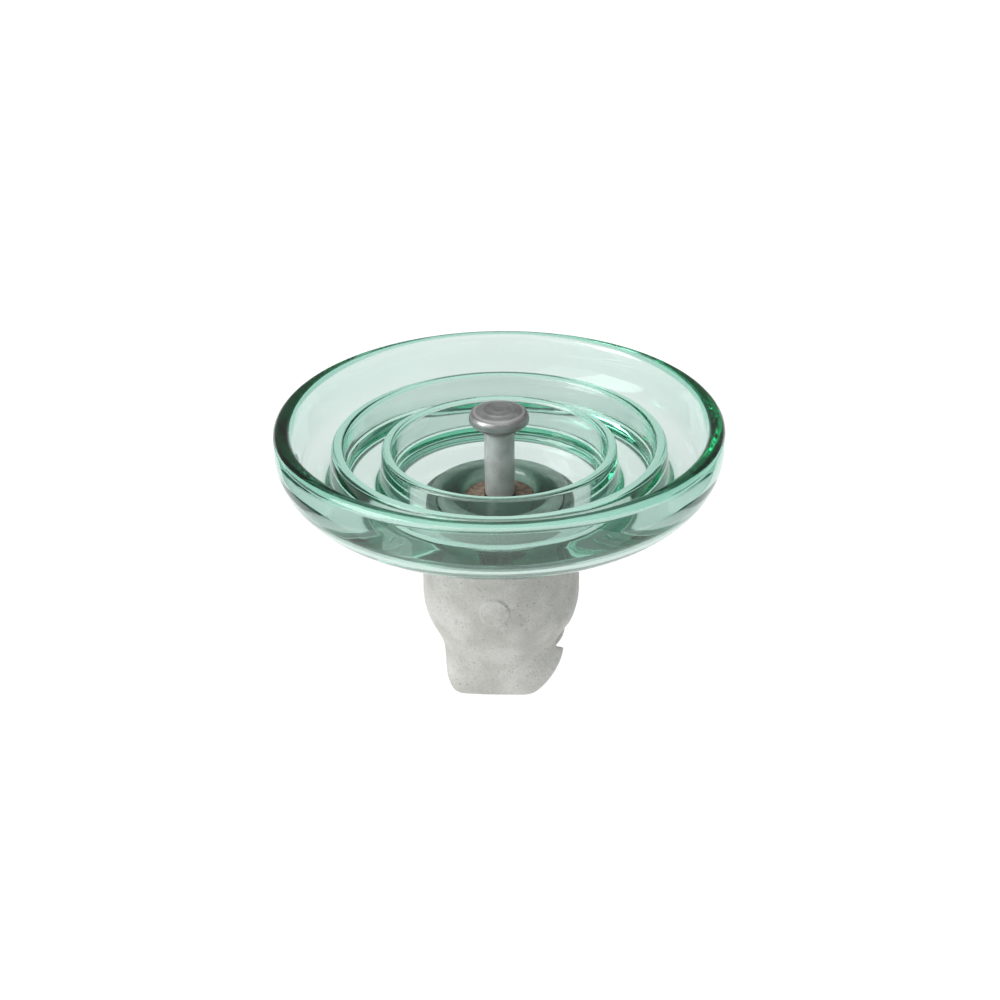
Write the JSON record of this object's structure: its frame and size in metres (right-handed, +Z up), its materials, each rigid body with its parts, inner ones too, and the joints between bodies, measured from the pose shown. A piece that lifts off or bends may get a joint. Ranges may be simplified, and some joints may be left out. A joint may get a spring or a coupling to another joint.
{
  "type": "cap and pin glass insulator",
  "caption": "Suspension insulator: a ribbed toughened-glass disc with a cast socket cap on one side and a ball-ended pin on the other, chained ball to socket.",
  "frame": {"origin": "centre of the cap's base, on the insulator's axis, where it stands upside down on its cap", "axes": "+Z up along the string's axis from the socket to the ball; +X out of the socket's mouth"},
  "size_m": [0.25, 0.25, 0.1724],
  "materials": {
    "glass": "smooth toughened glass, pale green",
    "cap_iron": "sand-cast, hot-dip galvanised, dull",
    "pin_steel": "forged, hot-dip galvanised, satin",
    "cement": "rough cement",
    "bitumen": "dull black bitumen paint",
    "cork": "pressed cork",
    "clip_metal": "drawn bronze wire"
  },
  "bodies": {
    "insulator": {"glass_shell": "glass", "cap": "cap_iron", "ball_pin": "pin_steel", "cap_cement": "cement", "pin_cement": "cement", "cap_lining": "bitumen", "pin_coating": "bitumen", "crown_cushion": "cork", "foot_cushion": "cork"},
    "clip": {"locking_clip": "clip_metal"}
  },
  "joints": [
    {"name": "clip_slide", "type": "slide", "parent": "insulator", "child": "clip", "axis": [-1, 0, 0], "range_m": [0, 0.011]}
  ]
}
